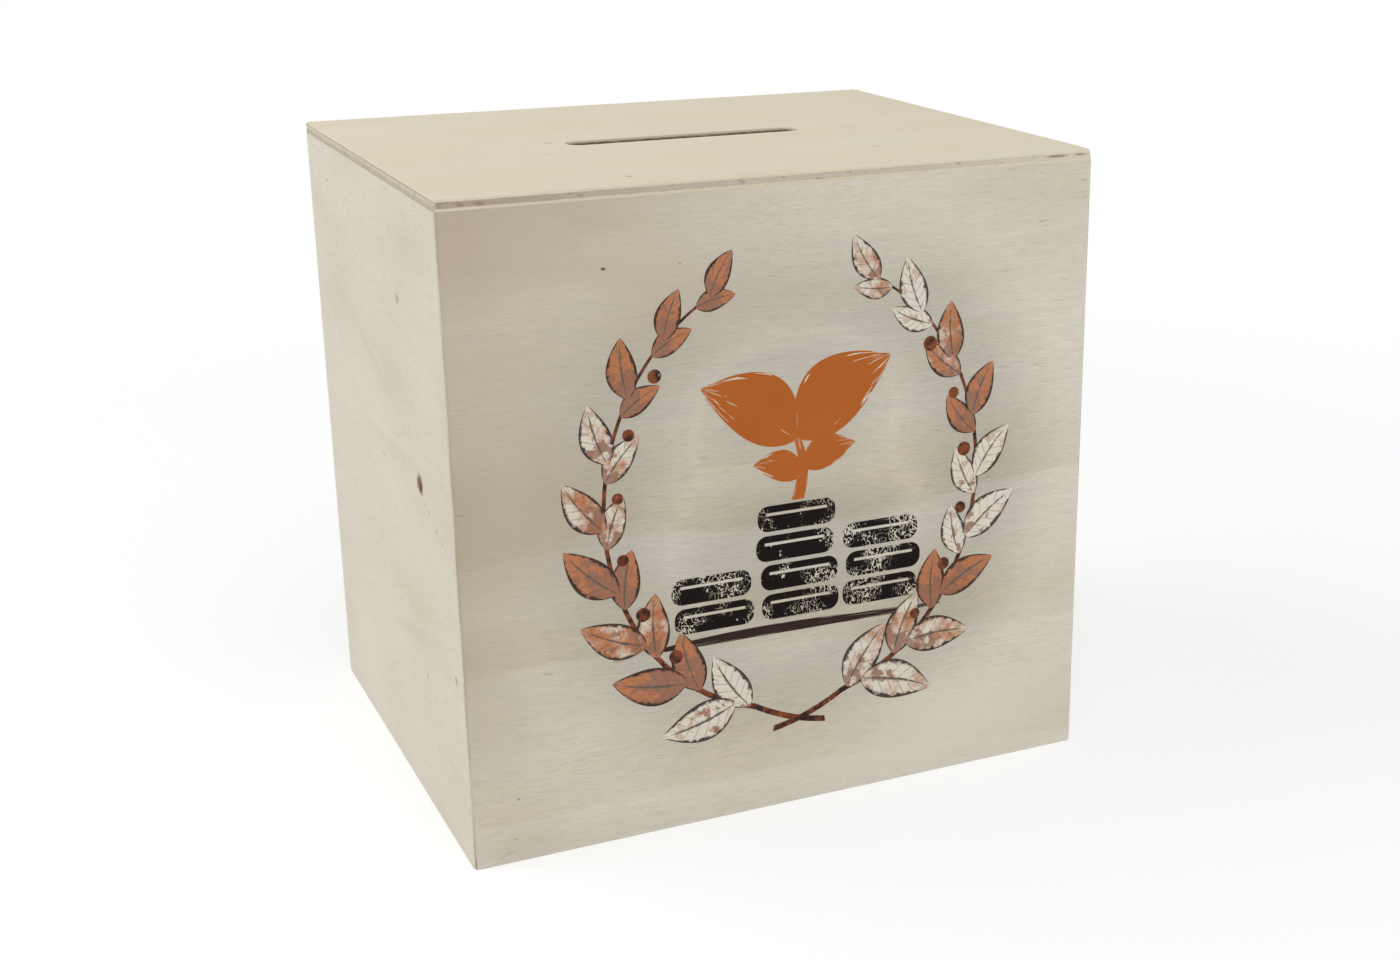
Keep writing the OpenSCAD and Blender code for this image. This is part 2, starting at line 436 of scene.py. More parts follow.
def plywood(name, ply, marks=(), printed=False, slotted=False):
    """Bare sanded plywood, with its own marks."""
    finish = Finish(name)
    colour, relief = veneer(finish, ply)
    # The printed front gets a soft painted shadow round its motif
    if printed:
        colour = painted_print_shadow(finish, colour)
    if ply.depth != "Z":
        colour = worn_and_shaded_corner(finish, ply, colour)
    colour = sawn_edge(finish, ply, colour)
    # The sides of the coin slot get painted light near the top and painted shade deeper in
    if slotted:
        colour = slot_wall(finish, colour)
    bare = colour
    for mark in marks:
        colour = add_mark(finish, ply, colour, mark)
    # The marks are on the outside and the edges only
    outward = finish.faces(ply.depth) * math.copysign(1.0, ply.middle_mm)
    colour = finish.blend(outward.ease(-0.5, -0.2), bare, colour)
    return finish.surface(colour, 0.74 + relief * 0.10, relief, FIBRE_DEEP, specular=0.25)


# Marks, in millimetres: along X and Z on the front and back, Y and Z on the left and right, and X and Y
# on the lid
TAN = rgba(0.560, 0.480, 0.355)
DEEP_TAN_AND_SHADE = rgba(0.480, 0.405, 0.295)
MILKY = rgba(0.775, 0.737, 0.650)
PINKISH = rgba(0.520, 0.410, 0.320)
FRONT_MARKS = [
    Mark((-30, 104), (100, 46), TAN, 0.70, -0.2, 4),
    Mark((50, 112), (90, 50), TAN, 0.42, -0.3),
    # Warmer and darker towards the front's left edge and top left: partly the veneer's tint, partly painted
    # shade
    Mark((-62, 66), (66, 190), DEEP_TAN_AND_SHADE, 0.92, -0.3),
    Mark((-47, 74), (30, 70), DEEP_TAN_AND_SHADE, 0.45, -0.2),
    Mark((-52, 3), (30, 18), DEEP_TAN_AND_SHADE, 0.30, -0.2),
    Mark((-56, 119), (130, 40), DEEP_TAN_AND_SHADE, 0.80, -0.2),
    Mark((-58, 113), (24, 36), PINKISH, 0.60, -0.3),
    # Lighter along the foot of the front: a milky tint, and painted light where the floor throws light up
    Mark((-30, 8), (90, 20), MILKY, 0.20, -0.2),
    Mark((40, 8), (120, 40), MILKY, 0.75, -0.2),
    Mark((-33.9, 106.3), (1.3, 0.75), SPOT_GREY, 1.0, turn=8),
    Mark((-20.2, 106.0), (1.0, 0.6), STAIN_GREY, 0.7),
    Mark((51.6, 107.4), (2.6, 0.8), STAIN_GREY, 0.30, turn=-8),
    Mark((-53.3, 12.2), (0.8, 0.7), SPOT_GREY, 0.5),
    Mark((-54.3, 4.5), (1.3, 0.6), STAIN_GREY, 0.5, turn=20),
    Mark((-60.6, 66.6), (2.6, 0.5), STAIN_GREY, 0.5, turn=12),
    Mark((-60.0, 56.8), (2.2, 0.4), STAIN_GREY, 0.45, turn=-10),
    Mark((-46.9, 35.2), (2.6, 0.7), STAIN_GREY, 0.35, turn=14),
    Mark((-34.1, 35.1), (2.6, 0.8), HALO_BROWN, 0.4, turn=6),
    Mark((18.5, 21.9), (1.6, 0.8), KNOT_BROWN, 0.4),
    Mark((57.0, 96.0), (2.6, 0.4), STAIN_GREY, 0.3, turn=-4),
    Mark((60.3, 114.4), (2.4, 0.5), STAIN_GREY, 0.35, turn=-4),
    Mark((60.6, 111.2), (2.0, 0.5), STAIN_GREY, 0.3, turn=4),
    Mark((0.0, 91.0), (170.0, 1.2), TAN, 0.15, 0.0, 3),
    Mark((-55.5, 2.0), (3.0, 1.0), STAIN_GREY, 0.25),
    Mark((-61.9, -49.9, 1.3), (0.9, 0.9, 3.8), KNOT_BROWN, 0.85),
]
LEFT_MARKS = [
    Mark((-26, 108), (50, 22), TAN, 0.26, -0.2),
    Mark((-11, 81), (40, 24), TAN, 0.30, -0.2, 18),
    Mark((27, 14), (48, 44), MILKY, 0.90, -0.2),
    Mark((30, 92), (44, 30), TAN, 0.22, -0.2),
    Mark((-5, 60), (90, 24), MILKY, 0.35, -0.2, 4),
    Mark((-38, 84), (30, 18), MILKY, 0.45, -0.2),
    Mark((-40, 14), (40, 24), TAN, 0.20, -0.2),
    Mark((-28.2, 66.2), (7.0, 7.0), HALO_BROWN, 0.32, 0.0),
    Mark((-28.2, 66.0), (4.6, 4.6), KNOT_LIGHT, 0.92, 0.5),
    Mark((-28.9, 65.5), (2.6, 3.8), KNOT_BROWN, 0.90, 0.2),
    Mark((-20.6, 98.0), (3.0, 2.4), STAIN_GREY, 0.6),
    Mark((32.4, 110.8), (2.0, 1.0), STAIN_GREY, 0.6),
    Mark((-24.0, 27.4), (1.8, 1.4), STAIN_GREY, 0.5),
    Mark((-45.3, 34.9), (2.0, 2.2), STAIN_GREY, 0.65),
    Mark((-14.0, 67.6), (60.0, 4.5), STAIN_GREY, 0.10, 0.0, -1),
    Mark((-16.0, 33.4), (44.0, 5.0), STAIN_GREY, 0.11, 0.0, -12),
    Mark((4.0, 82.0), (40.0, 4.0), STAIN_GREY, 0.09, 0.0, 20),
    Mark((-30.9, 63.0), (1.4, 0.8), STAIN_GREY, 0.6),
    Mark((-33.5, 62.3), (1.8, 1.2), STAIN_GREY, 0.4),
    Mark((-38.5, 60.2), (1.4, 1.4), STAIN_GREY, 0.5),
    Mark((-41.8, 59.1), (1.6, 0.9), STAIN_GREY, 0.5),
    Mark((-14.4, 71.3), (1.6, 0.9), STAIN_GREY, 0.4),
    Mark((-0.8, 64.2), (1.8, 1.0), STAIN_GREY, 0.35),
    Mark((-61.9, -49.9, 1.3), (0.9, 0.9, 3.8), KNOT_BROWN, 0.85),
]
BACK_MARKS = [
    Mark((24, 84), (90, 30), TAN, 0.30, -0.2, 3),
    Mark((-34, 30), (80, 26), MILKY, 0.45, -0.2, -2),
    Mark((-19.5, 88.0), (5.6, 4.2), HALO_BROWN, 0.45, 0.1),
    Mark((-19.5, 88.0), (3.0, 2.4), KNOT_BROWN, 0.85),
    Mark((37.2, 41.0), (2.0, 1.2), STAIN_GREY, 0.6),
    Mark((44.0, 104.5), (3.4, 0.7), STAIN_GREY, 0.45, turn=6),
    Mark((-48.5, 17.0), (1.4, 0.9), SPOT_GREY, 0.5),
    Mark((6.0, 61.0), (4.2, 0.6), STAIN_GREY, 0.35, turn=-8),
    Mark((56.0, 70.0), (2.2, 0.5), STAIN_GREY, 0.4),
]
RIGHT_MARKS = [
    Mark((12, 34), (70, 30), TAN, 0.28, -0.2, -3),
    Mark((-18, 88), (60, 24), MILKY, 0.40, -0.2, 2),
    Mark((21.0, 52.4), (4.6, 3.4), HALO_BROWN, 0.45, 0.1),
    Mark((21.2, 52.4), (2.2, 1.8), KNOT_BROWN, 0.80),
    Mark((-36.0, 24.8), (1.8, 1.2), STAIN_GREY, 0.6),
    Mark((-8.4, 101.2), (3.0, 0.7), STAIN_GREY, 0.4, turn=5),
    Mark((40.5, 77.0), (1.3, 0.9), SPOT_GREY, 0.5),
]
LID_MARKS = [
    Mark((-25.8, -41.6), (1.8, 1.4), HALO_BROWN, 0.85),
    Mark((-30.6, -12.3), (1.0, 1.4), HALO_BROWN, 0.7),
    Mark((27.3, -29.5), (2.2, 1.4), STAIN_GREY, 0.45),
    Mark((-26.5, 1.0), (3.4, 2.4), STAIN_GREY, 0.35),
    Mark((54.2, -50.0, 119.2), (6.4, 1.0, 0.7), DARK_CORE, 0.75),
    Mark((59.4, -50.0, 119.2), (3.6, 1.0, 0.6), DARK_CORE, 0.60),
    Mark((-57.6, -50.0, 118.9), (2.4, 1.0, 1.1), DARK_CORE, 0.60, 0.0),
    Mark((-54.4, -50.0, 118.9), (3.0, 1.0, 1.1), DARK_CORE, 0.65, 0.0),
]


# ---------------------------------------------------------------- panels

def ring(half_u, half_v, radius, steps_u, steps_v, arc_steps):
    """Points round a rectangle with round corners, anticlockwise, with their outward directions."""
    corners = ((1, 1), (-1, 1), (-1, -1), (1, -1))
    centres = [(u * (half_u - radius), v * (half_v - radius)) for u, v in corners]
    points = []
    for index, centre in enumerate(centres):
        for step in range(arc_steps + 1):
            angle = math.pi / 2 * (index + step / arc_steps)
            way = Vector((math.cos(angle), math.sin(angle)))
            points.append((Vector(centre) + radius * way, way))
        start, way = points[-1]
        end = Vector(centres[(index + 1) % 4]) + radius * way
        steps = steps_u if index % 2 == 0 else steps_v
        points += [(start.lerp(end, step / steps), way) for step in range(1, steps)]
    return points


# An outline at one depth under a panel's face: how far it lies back along u and v, how rough its sides are
Level = namedtuple("Level", "depth back_u back_v rough_u rough_v")


def eased(depth, size):
    """How far a rounded edge of one size lies back at a depth under the face."""
    left = max(0.0, 1 - depth / size)
    return size * (1 - math.sqrt(max(0.0, 1 - left * left)))


def tremor(point, depth, seed):
    """Uneven line of a sawn edge, from 0 to 1."""
    where = Vector((point.x, point.y, depth)) / (1.3 * MM) + Vector((seed, 0, 0))
    slow = Vector((point.x, point.y, 0)) / (11 * MM) + Vector((0, seed, 0))
    return min(1.0, max(0.0, 0.5 + 0.6 * noise.noise(where) + 0.4 * noise.noise(slow)))


def skin(bm, levels, outline, place, seed, nudge, outward):
    """Wall of faces through one outline at every level. Returns its first and last ring."""
    rings = []
    for level in levels:
        row = []
        for point, way in outline(level):
            rough = way.x ** 2 * level.rough_u + way.y ** 2 * level.rough_v
            moved = point - way * outward * rough * tremor(point, level.depth, seed)
            moved += nudge(point, level.depth)
            row.append(bm.verts.new(place(moved.x, moved.y, level.depth)))
        rings.append(row)
    for upper, lower in zip(rings, rings[1:]):
        for a in range(len(upper)):
            b = (a + 1) % len(upper)
            bm.faces.new((upper[a], upper[b], lower[b], lower[a])).smooth = True
    return rings[0], rings[-1]


def cap(bm, outer, holes):
    """Flat face that closes a ring, round any holes in it."""
    if not holes:
        bm.faces.new(outer)
        return
    loops = [outer] + holes
    every = [vert for loop in loops for vert in loop]
    for triangle in geometry.tessellate_polygon([[vert.co for vert in loop] for loop in loops]):
        bm.faces.new([every[index] for index in triangle])


# Edges that turn further than this are cut edges, and the others are rounded
CRISP_ANGLE = math.radians(32)
# Points nearer to each other than this are one point
WELD = 1e-7


def finished_mesh(name, bm, material):
    """Object at the origin from a closed mesh, with its faces turned outwards."""
    bmesh.ops.remove_doubles(bm, verts=bm.verts, dist=WELD)
    bmesh.ops.dissolve_degenerate(bm, edges=bm.edges, dist=WELD / 10)
    bmesh.ops.recalc_face_normals(bm, faces=bm.faces)
    for edge in bm.edges:
        edge.smooth = not edge.is_manifold or edge.calc_face_angle() < CRISP_ANGLE
    mesh = bpy.data.meshes.new(name)
    bm.to_mesh(mesh)
    bm.free()
    mesh.materials.append(material)
    return in_scene(name, mesh)


# Distance between the points of a panel's outline, and the steps round each of its corners
STEP = 1.0 * MM
CORNER_STEPS = 6
# Straight that is left between two round ends, so that their points don't meet
ROUND_GAP = 10 * WELD


def no_nudge(point, depth):
    """For a panel whose outline is left as it is."""
    return Vector((0, 0))


# A hole through a panel: its levels under the face, and its outline at a level
Hole = namedtuple("Hole", "levels outline")


def hole_at(x, y, half_l, half_w, levels, steps, arc_steps):
    """Hole with round ends, which is round all over where its length is its width."""
    def outline(level):
        length, width = half_l + level.back_u, half_w + level.back_u
        points = ring(length, width, width - ROUND_GAP, steps, 1, arc_steps)
        return [(point + Vector((x, y)), way) for point, way in points]
    return Hole(levels, outline)


def panel(name, half_u, half_v, radius, levels, place, material, seed, nudge, holes=()):
    """Plywood panel from its outlines under the face, with any holes through it."""
    bm = bmesh.new()
    steps_u = round(2 * half_u / STEP)
    steps_v = round(2 * half_v / STEP)

    def outside(level):
        return ring(half_u - level.back_u, half_v - level.back_v, radius, steps_u, steps_v, CORNER_STEPS)

    top, bottom = skin(bm, levels, outside, place, seed, nudge, 1)
    skins = [skin(bm, hole.levels, hole.outline, place, seed + 5, no_nudge, -1) for hole in holes]
    cap(bm, top, [skin_top for skin_top, skin_bottom in skins])
    cap(bm, bottom, [skin_bottom for skin_top, skin_bottom in skins])
    return finished_mesh(name, bm, material)


def edge_levels(thickness, ease, far_ease, extra=(), side=None):
    """Levels down a sawn plywood edge: eased at the face and at the back, its middle ply a little back."""
    core_low = thickness * (1 - CORE_SHARE) / 2
    core_high = thickness - core_low
    lip = 0.04 * MM
    depths = [0, ease * 0.08, ease * 0.3, ease * 0.6, ease,
              core_low - lip, core_low + lip, thickness / 2, core_high - lip, core_high + lip,
              thickness - far_ease, thickness - far_ease * 0.4, thickness, *extra]
    levels = []
    for depth in sorted(set(depths)):
        back = eased(depth, ease) + eased(thickness - depth, far_ease)
        in_core = core_low < depth < core_high
        back += CORE_BACK if in_core else 0
        rough = CORE_ROUGH if in_core else EDGE_ROUGH
        if side:
            levels.append(Level(depth, side(depth), back, MITRE_ROUGH, GLUED_ROUGH))
        else:
            levels.append(Level(depth, back, back, rough, rough))
    return levels


def mitre(depth):
    """How far a wall's mitred end lies back: round at the corner, then at 45 degrees."""
    touch = CORNER_R * (1 - math.sqrt(0.5))
    if depth >= touch:
        return depth + SEAM
    return CORNER_R - math.sqrt(CORNER_R ** 2 - (CORNER_R - depth) ** 2) + SEAM


ARC_DEPTHS = [CORNER_R * (1 - math.cos(math.radians(angle))) for angle in (6, 14, 22, 30, 38, 45)]


def wall(name, half_u, place, material, seed, nudge):
    levels = edge_levels(WALL_T, GLUED_EASE, GLUED_EASE, ARC_DEPTHS, mitre)
    return panel(name, half_u, WALL_H / 2, WALL_CORNER_R, levels, place, material, seed, nudge)


def split_corner(point, depth):
    """Short crack at the foot of the front left seam, where the mitre has sprung open."""
    height, length, gape = 3.2 * MM, 4 * MM, 0.34 * MM
    foot = max(0.0, 1 - (point.y + WALL_H / 2) / height)
    end = max(0.0, 1 - (HALF_D - point.x - depth) / length)
    return Vector((-gape * foot * end, 0))


def build_walls():
    """Four mitred walls, each drawn flat along u and v and then stood in its place."""
    mid_z = WALL_H / 2
    sides = [
        ("front", HALF_W, lambda u, v, d: (u, -HALF_D + INK + d, mid_z + v), FRONT, FRONT_MARKS, no_nudge),
        ("back", HALF_W, lambda u, v, d: (-u, HALF_D - d, mid_z + v), BACK, BACK_MARKS, no_nudge),
        ("left", HALF_D, lambda u, v, d: (-HALF_W + d, -u, mid_z + v), LEFT, LEFT_MARKS, split_corner),
        ("right", HALF_D, lambda u, v, d: (HALF_W - d, u, mid_z + v), RIGHT, RIGHT_MARKS, no_nudge),
    ]
    for index, (side, half_u, place, ply, marks, nudge) in enumerate(sides):
        veneered = plywood(side + "_veneer", ply, marks, printed=side == "front")
        piece = wall(side + "_wall", half_u, place, veneered, 1.5 + index, nudge)
        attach(piece, "case")
        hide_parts(side + "_panel")


# ---------------------------------------------------------------- lid

def knocked_corner(point, depth):
    """Corner of the lid that has been knocked round, at the front right."""
    reach, push = 5 * MM, 0.36 * MM
    away = (point - Vector((HALF_W, -HALF_D))).length
    near = max(0.0, 1 - away / reach)
    upper = max(0.0, 1 - depth / (0.6 * LID_T))
    return Vector((-1, 1)) * push * near * near * upper


def build_lid():
    slot = hole_at(0, SLOT_Y, SLOT_L / 2, SLOT_W / 2, edge_levels(LID_T, SLOT_EASE, GLUED_EASE), 90, 10)
    lid = panel("lid", HALF_W, HALF_D, CORNER_R, edge_levels(LID_T, LID_EASE, GLUED_EASE),
                lambda u, v, depth: (u, v, lid_high.z - depth),
                plywood("lid_veneer", LID, LID_MARKS, slotted=True), 5.5, knocked_corner, [slot])
    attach(lid, "case")
    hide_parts("lid_panel")


# ---------------------------------------------------------------- base, posts and screws

# Radii of a screw hole and of its countersink, the height of the countersink's rim, and how rough both are
HOLE_R = 1.7 * MM
SINK_R = 3.1 * MM
SINK_RIM = 0.6 * MM
HOLE_ROUGH = 0.02 * MM


def build_base():
    """Inset base panel, with four holes countersunk from below."""
    half_u = (base_high.x - base_low.x) / 2
    half_v = (base_high.y - base_low.y) / 2
    grow = SINK_R - HOLE_R
    # Eased at the top, a little wider halfway down, and countersunk below
    sink_levels = [Level(depth, back, back, HOLE_ROUGH, HOLE_ROUGH) for depth, back in (
        (0, 0.1 * MM), (0.1 * MM, 0), (0.8 * MM, 0.02 * MM), (1.6 * MM, 0),
        (BASE_T - SINK_RIM - grow, 0), (BASE_T - SINK_RIM, grow), (BASE_T, grow + 0.05 * MM))]
    holes = [hole_at(x, y, HOLE_R, HOLE_R, sink_levels, 1, 8)
             for x in (-SCREW_X, SCREW_X) for y in (-SCREW_Y, SCREW_Y)]
    base = panel("base_board", half_u, half_v, BASE_CORNER_R, edge_levels(BASE_T, BASE_EASE, BASE_EASE),
                 lambda u, v, depth: (u, v, BASE_T - depth),
                 plywood("base_veneer", BASE), 6.5, no_nudge, holes)
    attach(base, "base")
    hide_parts("base_panel")


def planed_pine(name, heart_mm, seed):
    """Planed pine whose growth rings run round a heart line that lies outside the post."""
    year_mm = 1.7
    finish = Finish(name)
    waver = finish.noise((30, 30, 90), seed, 1.0)
    from_heart = finish.vector("SUBTRACT", finish.place, (heart_mm[0], heart_mm[1], 0.0))
    flat = finish.vector("MULTIPLY", from_heart, (1.0, 1.0, 0.0))
    radius = finish.length(flat) + waver * 3.0
    year = (radius / year_mm) % 1.0
    late = year.ease(0.45, 0.92) * year.ease(1.0, 0.96)
    fibre = finish.noise((0.22, 0.22, 9.0), seed + 1, 3.0, 0.6)
    cloud = finish.noise((8, 8, 40), seed + 2, 1.0)
    colour = finish.blend(late * 0.65, rgba(0.720, 0.560, 0.350), rgba(0.520, 0.310, 0.140))
    colour = finish.shade(colour, 0.94 + fibre * 0.10 + cloud * 0.10)
    relief = fibre + late * 0.8
    return finish.surface(colour, 0.62 + fibre * 0.12, relief, 0.03 * MM, specular=0.3)


def dress_posts():
    """The posts keep their solids, and each is cut from its own bit of pine, with its own heart line."""
    hearts_mm = {"front_left_post": (-90, -38), "front_right_post": (45, -95),
                 "back_left_post": (-70, 82), "back_right_post": (92, 44)}
    for seed, (node, heart_mm) in enumerate(hearts_mm.items()):
        pine = planed_pine(node + "_pine", heart_mm, seed * 7.3)
        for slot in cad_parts[node].material_slots:
            slot.material = pine


class Pattern(Sheet):
    """A geometry tree with named sizes, whose result becomes a plain mesh."""

    def __init__(self, name):
        super().__init__(bpy.data.node_groups.new(name, "GeometryNodeTree"))
        self.keys = {}

    def size(self, name, kind="NodeSocketFloat"):
        """Named input of the tree."""
        self.keys[name] = self.tree.interface.new_socket(name, in_out="INPUT", socket_type=kind).identifier
        return self.add("NodeGroupInput", output=name)

    def chance(self, low, high, seed):
        """Random number for each point."""
        return self.add("FunctionNodeRandomValue", {"data_type": "FLOAT"}, {2: low, 3: high, 8: seed}, 1)

    def index(self):
        return self.add("GeometryNodeInputIndex")

    def spot(self):
        """Place of each point, as three numbers."""
        position = self.add("GeometryNodeInputPosition")
        return [self.part(position, axis) for axis in AXES]

    def moved(self, geometry_in, place):
        """Geometry with every point set to a place."""
        return self.add("GeometryNodeSetPosition", {}, {"Geometry": geometry_in, "Position": place})

    def noted(self, geometry_in, name, value, kind="FLOAT", domain="POINT"):
        """Geometry with a value kept on it for its finish."""
        return self.add("GeometryNodeStoreNamedAttribute", {"data_type": kind, "domain": domain},
                        {"Geometry": geometry_in, "Name": name, "Value": value})

    def shifted(self, geometry_in, **how):
        """Geometry with a Translation, a Rotation or both."""
        return self.add("GeometryNodeTransform", {}, {"Geometry": geometry_in, **how})

    def scattered(self, count, places, shape, **how):
        """One shape at every place, with an optional Selection, Rotation and Scale."""
        dots = self.add("GeometryNodePoints", {}, {"Count": count, "Position": places})
        return self.add("GeometryNodeInstanceOnPoints", {}, {"Points": dots, "Instance": shape, **how})

    def together(self, parts):
        return self.add("GeometryNodeJoinGeometry", {}, {0: parts})

    def coated(self, geometry_in, material):
        real = self.add("GeometryNodeRealizeInstances", {}, {0: geometry_in})
        return self.add("GeometryNodeSetMaterial", {}, {"Geometry": real, "Material": material})

    def end(self, geometry_in):
        self.tree.interface.new_socket("Geometry", in_out="OUTPUT", socket_type="NodeSocketGeometry")
        self.add("NodeGroupOutput", {}, {"Geometry": geometry_in})
        return self

    def make(self, name, sizes):
        """Plain mesh piece from this tree, at the given sizes."""
        piece = in_scene(name, bpy.data.meshes.new(name))
        modifier = piece.modifiers.new(self.tree.name, "NODES")
        modifier.node_group = self.tree
        for size, value in sizes.items():
            modifier[self.keys[size]] = value
        shaped = piece.evaluated_get(bpy.context.evaluated_depsgraph_get())
        mesh = bpy.data.meshes.new_from_object(shaped)
        for slot in reversed(range(len(mesh.materials))):
            if not mesh.materials[slot]:
                mesh.materials.pop(index=slot)
        piece.modifiers.clear()
        piece.data = mesh
        return piece


def screw_pattern(material):
    """Countersunk screw with its point up: one tube whose radius follows the thread round it."""
    tree = Pattern("countersunk_screw")
    length, head_r, core_r, thread_r, pitch, rim, tip, cross_w, cross_l, cross_h, turn = [
        tree.size(name) for name in ("Length", "Head radius", "Core radius", "Thread radius", "Pitch", "Rim",
                                     "Tip", "Cross width", "Cross span", "Cross depth", "Turn")]
    place = tree.size("Place", "NodeSocketVector")

    tube = tree.add("GeometryNodeMeshCylinder", {"fill_type": "TRIANGLE_FAN"},
                    {"Vertices": 36, "Side Segments": 150, "Radius": 1.0, "Depth": 1.0})
    x, y, z = tree.spot()
    high = (z + 0.5) * length
    head = (head_r - (high - rim).most(0.0)).most(core_r)
    point = ((length - high) / tip).least(1.0)
    angle = y.angle_over(x) / (2 * math.pi)
    phase = (high / pitch - angle).rest()
    ridge = (1.0 - abs(phase - 0.5) / 0.27).most(0.0)
    start = ((high - rim - head_r + core_r) / pitch).least(1.0)
    radius = head * point + ridge * (thread_r - core_r) * start.most(0.0) * (point * 1.4).least(1.0)
    body = tree.moved(tube, tree.join(x * radius, y * radius, high))
    bars = [tree.add("GeometryNodeMeshCube", {}, {"Size": tree.join(wide, deep, cross_h * 2.0)})
            for wide, deep in ((cross_l, cross_w), (cross_w, cross_l))]
    narrow = [tree.moved(bar, taper(tree, cross_h)) for bar in bars]
    cut = tree.add("GeometryNodeMeshBoolean", {"operation": "DIFFERENCE", "solver": "EXACT"},
                   {"Mesh 1": body, "Mesh 2": narrow})
    driven = tree.shifted(cut, Translation=place, Rotation=tree.join(0.0, 0.0, turn))
    crisp = tree.add("GeometryNodeSetShadeSmooth", {}, {"Geometry": driven, "Shade Smooth": False})
    return tree.end(tree.coated(crisp, material))


def taper(tree, cross_h):
    """Place of each point of a recess bar, which narrows into the head."""
    x, y, z = tree.spot()
    narrow = 1.0 - (z / cross_h).most(0.0) * 0.55
    return tree.join(x * narrow, y * narrow, z)


def bright_zinc():
    finish = Finish("bright_zinc")
    cloud = finish.noise(1.2, 4.0, 3.0)
    fine = finish.noise((0.12, 0.12, 0.4), 8.0, 2.0)
    colour = finish.blend(cloud, rgba(0.560, 0.565, 0.570), rgba(0.690, 0.680, 0.650))
    return finish.surface(colour, 0.26 + fine * 0.16, fine, 0.01 * MM, metallic=1.0)


def build_screws():
    tree = screw_pattern(bright_zinc())
    corners = {"front_left": (-1, -1, 0.35), "front_right": (1, -1, 1.10),
               "back_left": (-1, 1, -0.20), "back_right": (1, 1, 0.80)}
    for corner, (side_x, side_y, turn) in corners.items():
        place = (side_x * SCREW_X, side_y * SCREW_Y, screw_low.z)
        screw = tree.make(corner + "_base_screw", {
            "Length": SCREW_L, "Head radius": 3.0 * MM, "Core radius": 1.05 * MM, "Thread radius": 1.5 * MM,
            "Pitch": 1.3 * MM, "Rim": 0.3 * MM, "Tip": 2.5 * MM, "Cross width": 0.9 * MM,
            "Cross span": 3.4 * MM, "Cross depth": 1.5 * MM, "Turn": turn, "Place": place})
        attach(screw, "screw_" + corner)
        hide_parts(corner + "_screw")


# ---------------------------------------------------------------- printed motif on the front

# The motif is a leaf wreath round three piles of coins, with a shoot that grows out of the middle pile.
# Every film of ink is a thin closed piece, and the later prints lie a little higher than the first.
STEM_INK = INK * 0.70
INNER_INK = INK * 0.80
OUTER_INK = INK * 0.90
TOP_INK = INK
# The height that the piles stand at, their coins and the distance from pile to pile
PILE_Z = PRINT_Z - 24 * MM
COIN_W = 15.5 * MM
COIN_H = 4.9 * MM
COIN_STEP = 5.7 * MM
PILE_GAP = 17.0 * MM

INK_ORANGE = rgba(0.455, 0.118, 0.014)
INK_BROWN = rgba(0.230, 0.060, 0.020)
INK_DARK = rgba(0.022, 0.008, 0.006)
INK_CREAM = rgba(0.760, 0.700, 0.600)
INK_TAN = rgba(0.480, 0.270, 0.120)


# Turn that stands a flat shape up in the plane of the front
STOOD_UP = (math.pi / 2, 0, 0)


def film(tree, flat, thickness):
    """Closed film of ink on the front veneer, from a flat shape in X and Z that faces forwards."""
    bite = INK * 0.1
    back = tree.shifted(flat, Translation=(0, -HALF_D + INK + bite, 0))
    raised = tree.add("GeometryNodeExtrudeMesh", {"mode": "FACES"},
                      {"Mesh": back, "Offset Scale": thickness + bite, "Individual": False})
    under = tree.add("GeometryNodeFlipFaces", {}, {"Mesh": back})
    return tree.add("GeometryNodeMergeByDistance", {},
                    {"Geometry": tree.together([raised, under]), "Distance": bite / 2})


def strip(tree, steps, across_steps):
    """Flat strip from 0 to 1 along it and from -1 to 1 across it, for a shape to be laid on."""
    flat = tree.add("GeometryNodeMeshGrid", {}, {"Size X": 1.0, "Size Y": 2.0,
                                                 "Vertices X": steps + 1, "Vertices Y": across_steps + 1})
    x, across_it = tree.spot()[:2]
    along_it = x + 0.5
    noted = tree.noted(flat, "inked", tree.join(along_it, across_it, 0.0), "FLOAT_VECTOR")
    return noted, along_it, across_it


def leaf(tree, length, width, bend):
    """Flat leaf that points along +X, with its stalk at the origin and its middle bowed upwards."""
    flat, along_it, across_it = strip(tree, 26, 8)
    belly = (along_it * (1.0 - along_it) * 4.0).most(0.0) ** 0.85 * (1.28 - along_it * 0.56)
    half = belly * width / 2.0 + width * 0.035 * (1.0 - along_it)
    bow = along_it * (1.0 - along_it) * 4.0 * bend
    return tree.moved(flat, tree.join(along_it * length, 0.0, bow + across_it * half))


def facing_front(tree, heading):
    """Turn that points a leaf along a heading in the plane of the front."""
    return tree.add("FunctionNodeEulerToRotation", {}, {0: tree.join(0.0, 0.0 - heading, 0.0)})


# A branch of the wreath starts at this angle from straight down and sweeps this much further, in radians
BRANCH_START = 0.17
BRANCH_SWEEP = 2.62


def wreath_spot(tree, share, side):
    """Place and heading on one branch of the wreath, from its foot at 0 to its tip at 1."""
    angle = BRANCH_START + share * BRANCH_SWEEP
    droop = (0.03 - share).most(0.0) * 30 * MM
    right = angle.sine() * side * WREATH_X
    up = angle.cosine() * -WREATH_Z - droop
    forward = side * angle.cosine() * WREATH_X
    climb = angle.sine() * WREATH_Z
    return tree.join(right + PRINT_X, 0.0, up + PRINT_Z), climb.angle_over(forward)


def by_turns(number):
    """-1 for an even number and 1 for an odd one."""
    return (number % 2.0) * 2.0 - 1.0


